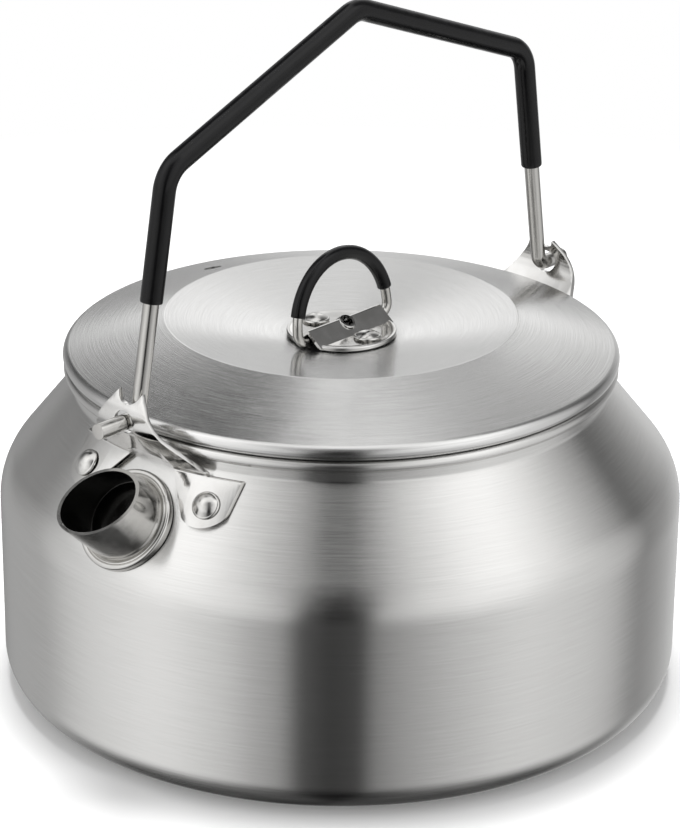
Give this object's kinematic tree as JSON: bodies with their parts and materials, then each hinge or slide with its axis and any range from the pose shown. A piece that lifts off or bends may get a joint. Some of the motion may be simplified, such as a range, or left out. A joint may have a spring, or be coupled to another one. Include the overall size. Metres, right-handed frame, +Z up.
{
  "type": "camp kettle",
  "caption": "Squat stainless steel camp kettle with a sloping shoulder, short open spout, folding wire bail in a black sleeve and a lid with a folding wire handle.",
  "frame": {"origin": "middle of the underside of the base, on the surface that the kettle stands on", "axes": "+Z up, +X towards the spout, the bail's hinge line runs along X"},
  "size_m": [0.1756, 0.165, 0.1684],
  "materials": {
    "body_steel": "brushed round the axis",
    "lid_steel": "spun, with fine rings",
    "spout_steel": "polished",
    "fitting_steel": "polished sheet",
    "rivet_steel": "polished",
    "wire_steel": "drawn bright wire",
    "black_sleeve": "soft vinyl, glossy"
  },
  "bodies": {
    "kettle": {"kettle_body": "body_steel", "spout_tube": "spout_steel", "spout_ferrule": "spout_steel", "front_ear": "fitting_steel", "rear_ear": "fitting_steel", "front_ear_rivet_left": "rivet_steel", "front_ear_rivet_right": "rivet_steel", "rear_ear_rivet_left": "rivet_steel", "rear_ear_rivet_right": "rivet_steel"},
    "bail": {"bail_wire": "wire_steel", "bail_sleeve": "black_sleeve"},
    "lid": {"lid_shell": "lid_steel", "lid_skirt": "lid_steel", "lid_handle_plate": "fitting_steel", "plate_rivet_left": "rivet_steel", "plate_rivet_right": "rivet_steel"},
    "lid_handle": {"lid_handle_wire": "wire_steel", "lid_handle_sleeve": "black_sleeve"}
  },
  "joints": [
    {"name": "bail_swing", "type": "hinge", "parent": "kettle", "child": "bail", "pos_m": [0, 0.0032, 0.0862], "axis": [1, 0, 0], "range_deg": [-100, 96]},
    {"name": "lid_lift", "type": "slide", "parent": "kettle", "child": "lid", "axis": [0, 0, 1], "range_m": [0, 0.012]},
    {"name": "lid_handle_fold", "type": "hinge", "parent": "lid", "child": "lid_handle", "pos_m": [0, 0.0007, 0.0874], "axis": [1, 0, 0], "range_deg": [-88, 76]}
  ]
}
